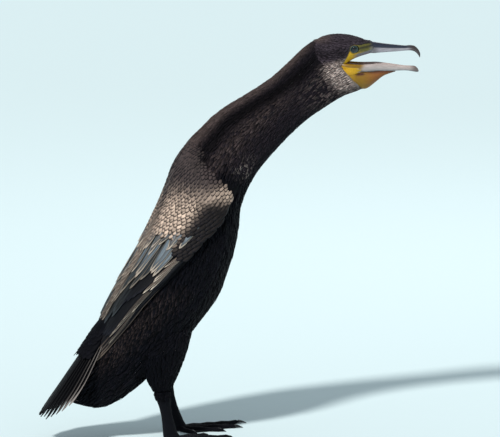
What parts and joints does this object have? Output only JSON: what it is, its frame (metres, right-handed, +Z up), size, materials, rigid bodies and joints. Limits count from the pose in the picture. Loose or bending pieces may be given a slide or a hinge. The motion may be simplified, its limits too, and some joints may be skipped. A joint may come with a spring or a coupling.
{
  "type": "cormorant",
  "caption": "Life-size still model of a standing cormorant: long stretched neck, hooked open bill, folded wings, stiff tail and webbed feet.",
  "frame": {"origin": "on the floor under the middle of the bird's box", "axes": "+X is the way the bird faces, +Y is its left side, +Z is up"},
  "size_m": [0.57, 0.1666, 0.5978],
  "materials": {
    "plumage": "soft sheen, blackish brown body feathers",
    "wing_feather": "satin, brown to blue-grey feathers with pale edges",
    "tail_feather": "satin, blackish stiff feathers with pale shafts",
    "horn": "smooth horn, grey ridge and pale pinkish sides",
    "bare_skin": "yellow to orange bare skin with fine grain",
    "eye": "wet and glossy",
    "foot_skin": "black scaled skin"
  },
  "bodies": {
    "root": {"head": "plumage", "neck_upper": "plumage", "neck_lower": "plumage", "torso": "plumage", "thigh_left": "plumage", "thigh_right": "plumage", "wing_left": "wing_feather", "wing_right": "wing_feather", "tail": "tail_feather", "bill_upper": "horn", "bill_lower": "horn", "gular_pouch": "bare_skin", "eye_left": "eye", "eye_right": "eye", "tarsus_left": "foot_skin", "tarsus_right": "foot_skin", "foot_left": "foot_skin", "foot_right": "foot_skin"}
  },
  "joints": []
}
